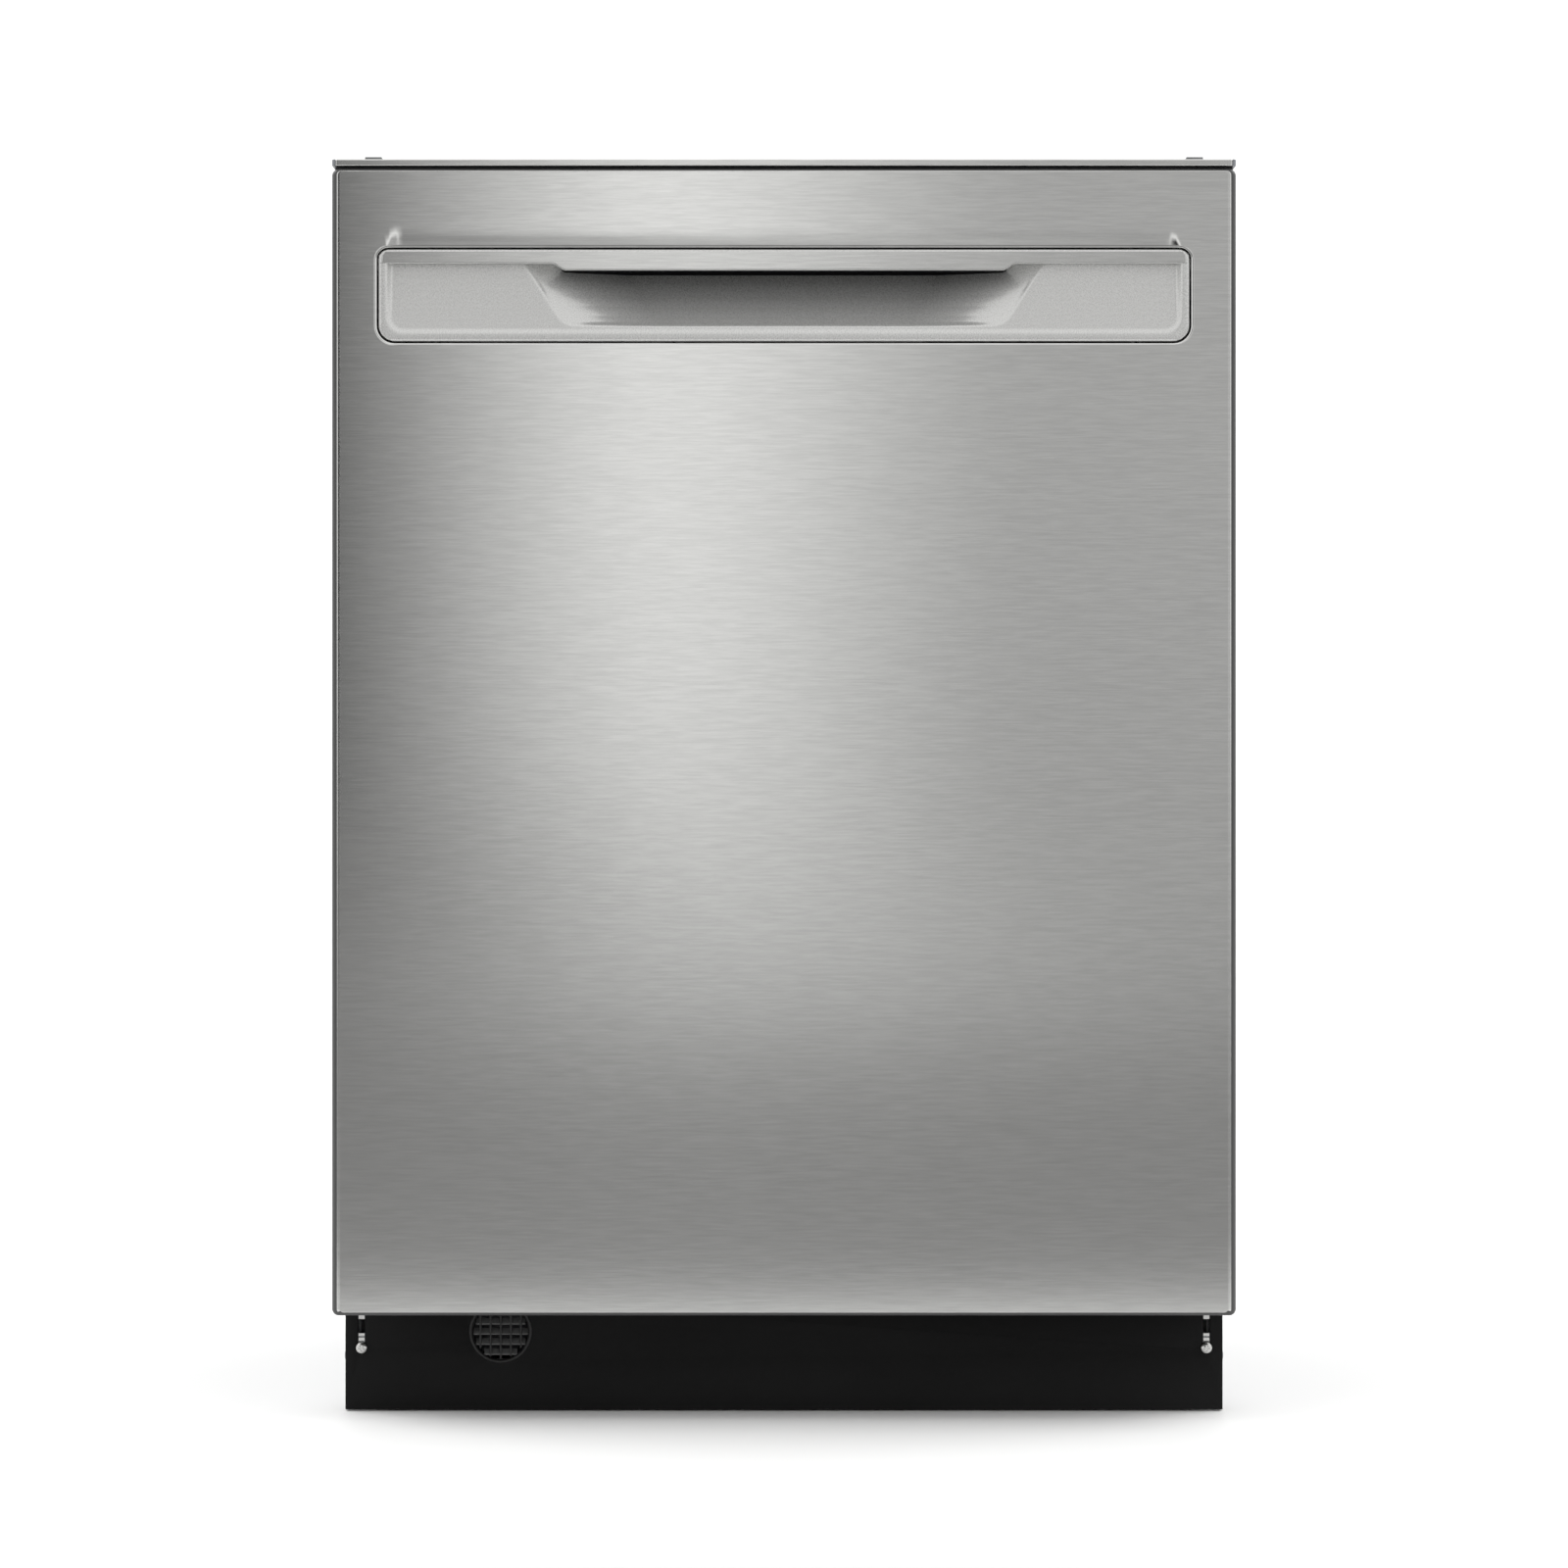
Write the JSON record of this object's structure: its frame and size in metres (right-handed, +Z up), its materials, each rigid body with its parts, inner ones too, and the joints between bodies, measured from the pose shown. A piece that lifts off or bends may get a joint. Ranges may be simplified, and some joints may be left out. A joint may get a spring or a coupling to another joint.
{
  "type": "built-in dishwasher",
  "caption": "Built-in dishwasher with a brushed drop-down door, recessed pocket handle, hidden top controls, black toe kick and pull-out racks.",
  "frame": {"origin": "on the floor under the middle of the machine's bounding box", "axes": "+Z up, front faces -Y, +X to the right when the front is seen"},
  "size_m": [0.606, 0.625, 0.854],
  "materials": {
    "brushed_door_steel": "fine horizontal brush",
    "handle_silver": "silver, satin gloss",
    "tub_steel": "bright satin",
    "galvanised_steel": "zinc plated",
    "spring_steel": "dark, oiled",
    "bright_screw": "bright zinc",
    "black_toe_kick": "matte black",
    "vent_grey": "grey moulding",
    "gasket_rubber": "dark grey",
    "sound_felt": "dark mastic-backed felt",
    "door_pad": "off-white fibre",
    "console_black": "black gloss",
    "button_grey": "satin grey",
    "board_green": "solder mask",
    "white_plastic": "white moulding",
    "grey_plastic": "grey moulding",
    "pump_black": "black moulding",
    "rack_nylon": "light grey nylon coat",
    "heater_steel": "dull",
    "track_steel": "polished"
  },
  "bodies": {
    "cabinet": {"wash_tub": "tub_steel", "tub_front_flange": "tub_steel", "tub_gasket": "gasket_rubber", "sound_blanket": "sound_felt", "mounting_brackets": "galvanised_steel", "base_frame": "galvanised_steel", "base_pan": "galvanised_steel", "hinge_brackets": "galvanised_steel", "hinge_springs": "spring_steel", "toe_kick": "black_toe_kick", "toe_kick_vent_grille": "vent_grey", "toe_kick_screws": "bright_screw", "side_bolts": "bright_screw", "latch_strike": "galvanised_steel", "sump": "grey_plastic", "heating_element": "heater_steel", "wash_pump": "pump_black", "drain_pump": "pump_black", "inlet_valve": "white_plastic", "junction_box": "galvanised_steel", "spray_feed_tube": "grey_plastic", "track_guides": "grey_plastic"},
    "door": {"door_outer_panel": "brushed_door_steel", "handle_pocket": "handle_silver", "door_liner": "tub_steel", "door_insulation": "door_pad", "console_trim": "brushed_door_steel", "control_console": "console_black", "control_board": "board_green", "latch_housing": "pump_black", "dispenser_body": "white_plastic", "door_vent_grille": "grey_plastic", "hinge_arms": "galvanised_steel"},
    "power_button": {"power_button": "button_grey"},
    "cycle_button": {"cycle_button": "button_grey"},
    "options_button": {"options_button": "button_grey"},
    "dry_button": {"dry_button": "button_grey"},
    "start_button": {"start_button": "button_grey"},
    "latch_hook": {"latch_hook": "grey_plastic"},
    "dispenser_lid": {"dispenser_lid": "grey_plastic"},
    "rinse_aid_cap": {"rinse_aid_cap": "grey_plastic"},
    "front_left_leg": {"front_left_leg": "pump_black"},
    "front_right_leg": {"front_right_leg": "pump_black"},
    "rear_left_leg": {"rear_left_leg": "pump_black"},
    "rear_right_leg": {"rear_right_leg": "pump_black"},
    "filter_cup": {"filter_cup": "grey_plastic"},
    "float": {"float": "grey_plastic"},
    "lower_spray_arm": {"lower_spray_arm": "grey_plastic"},
    "upper_tracks": {"upper_tracks": "track_steel"},
    "upper_rack": {"upper_rack": "rack_nylon", "mid_spray_manifold": "grey_plastic"},
    "mid_spray_arm": {"mid_spray_arm": "grey_plastic"},
    "cup_shelf_left": {"cup_shelf_left": "grey_plastic"},
    "cup_shelf_right": {"cup_shelf_right": "grey_plastic"},
    "lower_rack": {"lower_rack": "rack_nylon"},
    "lower_front_left_wheel": {"lower_front_left_wheel": "grey_plastic"},
    "lower_front_right_wheel": {"lower_front_right_wheel": "grey_plastic"},
    "lower_rear_left_wheel": {"lower_rear_left_wheel": "grey_plastic"},
    "lower_rear_right_wheel": {"lower_rear_right_wheel": "grey_plastic"},
    "silverware_basket": {"silverware_basket": "grey_plastic"}
  },
  "joints": [
    {"name": "door_hinge", "type": "hinge", "parent": "cabinet", "child": "door", "pos_m": [0, -0.2875, 0.091], "axis": [1, 0, 0], "range_deg": [0, 90], "stiffness_Nm_per_rad": 30},
    {"name": "power_button_press", "type": "slide", "parent": "door", "child": "power_button", "axis": [0, 0, -1], "range_m": [0, 0.0015], "stiffness_N_per_m": 900, "springref_m": -0.001},
    {"name": "cycle_button_press", "type": "slide", "parent": "door", "child": "cycle_button", "axis": [0, 0, -1], "range_m": [0, 0.0015], "stiffness_N_per_m": 900, "springref_m": -0.001},
    {"name": "options_button_press", "type": "slide", "parent": "door", "child": "options_button", "axis": [0, 0, -1], "range_m": [0, 0.0015], "stiffness_N_per_m": 900, "springref_m": -0.001},
    {"name": "dry_button_press", "type": "slide", "parent": "door", "child": "dry_button", "axis": [0, 0, -1], "range_m": [0, 0.0015], "stiffness_N_per_m": 900, "springref_m": -0.001},
    {"name": "start_button_press", "type": "slide", "parent": "door", "child": "start_button", "axis": [0, 0, -1], "range_m": [0, 0.0015], "stiffness_N_per_m": 900, "springref_m": -0.001},
    {"name": "latch_hook_turn", "type": "hinge", "parent": "door", "child": "latch_hook", "pos_m": [0, -0.2685, 0.823], "axis": [1, 0, 0], "range_deg": [0, 25]},
    {"name": "dispenser_lid_slide", "type": "slide", "parent": "door", "child": "dispenser_lid", "axis": [-1, 0, 0], "range_m": [0, 0.072]},
    {"name": "rinse_aid_cap_turn", "type": "hinge", "parent": "door", "child": "rinse_aid_cap", "pos_m": [0.048, -0.245, 0.482], "axis": [0, 1, 0], "range_deg": [-90, 0]},
    {"name": "front_left_leg_height", "type": "slide", "parent": "cabinet", "child": "front_left_leg", "axis": [0, 0, -1], "range_m": [0, 0.038]},
    {"name": "front_right_leg_height", "type": "slide", "parent": "cabinet", "child": "front_right_leg", "axis": [0, 0, -1], "range_m": [0, 0.038]},
    {"name": "rear_left_leg_height", "type": "slide", "parent": "cabinet", "child": "rear_left_leg", "axis": [0, 0, -1], "range_m": [0, 0.038]},
    {"name": "rear_right_leg_height", "type": "slide", "parent": "cabinet", "child": "rear_right_leg", "axis": [0, 0, -1], "range_m": [0, 0.038]},
    {"name": "filter_cup_twist", "type": "hinge", "parent": "cabinet", "child": "filter_cup", "pos_m": [0.046, -0.016, 0.1], "axis": [0, 0, 1], "range_deg": [0, 90]},
    {"name": "float_rise", "type": "slide", "parent": "cabinet", "child": "float", "axis": [0, 0, 1], "range_m": [0, 0.008]},
    {"name": "lower_spray_arm_spin", "type": "hinge", "parent": "cabinet", "child": "lower_spray_arm", "pos_m": [0, 0.02, 0.17], "axis": [0, 0, 1], "continuous": true},
    {"name": "upper_tracks_slide", "type": "slide", "parent": "cabinet", "child": "upper_tracks", "axis": [0, -1, 0], "range_m": [0, 0.2]},
    {"name": "upper_rack_slide", "type": "slide", "parent": "upper_tracks", "child": "upper_rack", "axis": [0, -1, 0], "range_m": [0, 0.2]},
    {"name": "mid_spray_arm_spin", "type": "hinge", "parent": "upper_rack", "child": "mid_spray_arm", "pos_m": [0, 0.02, 0.4445], "axis": [0, 0, 1], "continuous": true},
    {"name": "cup_shelf_left_fold", "type": "hinge", "parent": "upper_rack", "child": "cup_shelf_left", "pos_m": [-0.236, 0, 0.566], "axis": [0, -1, 0], "range_deg": [0, 85]},
    {"name": "cup_shelf_right_fold", "type": "hinge", "parent": "upper_rack", "child": "cup_shelf_right", "pos_m": [0.236, 0, 0.566], "axis": [0, 1, 0], "range_deg": [0, 85]},
    {"name": "lower_rack_slide", "type": "slide", "parent": "cabinet", "child": "lower_rack", "axis": [0, -1, 0], "range_m": [0, 0.2]},
    {"name": "lower_front_left_wheel_roll", "type": "hinge", "parent": "lower_rack", "child": "lower_front_left_wheel", "pos_m": [-0.266, -0.11, 0.1423], "axis": [1, 0, 0], "continuous": true},
    {"name": "lower_front_right_wheel_roll", "type": "hinge", "parent": "lower_rack", "child": "lower_front_right_wheel", "pos_m": [0.266, -0.11, 0.1423], "axis": [1, 0, 0], "continuous": true},
    {"name": "lower_rear_left_wheel_roll", "type": "hinge", "parent": "lower_rack", "child": "lower_rear_left_wheel", "pos_m": [-0.266, 0.17, 0.1423], "axis": [1, 0, 0], "continuous": true},
    {"name": "lower_rear_right_wheel_roll", "type": "hinge", "parent": "lower_rack", "child": "lower_rear_right_wheel", "pos_m": [0.266, 0.17, 0.1423], "axis": [1, 0, 0], "continuous": true},
    {"name": "silverware_basket_lift", "type": "slide", "parent": "lower_rack", "child": "silverware_basket", "axis": [0, 0, 1], "range_m": [0, 0.06]}
  ],
  "couplings": [
    {"joint": "upper_tracks_slide", "follows": "door_hinge", "m_per_rad": 0.1273},
    {"joint": "upper_rack_slide", "follows": "door_hinge", "m_per_rad": 0.1273},
    {"joint": "lower_rack_slide", "follows": "door_hinge", "m_per_rad": 0.1273}
  ]
}
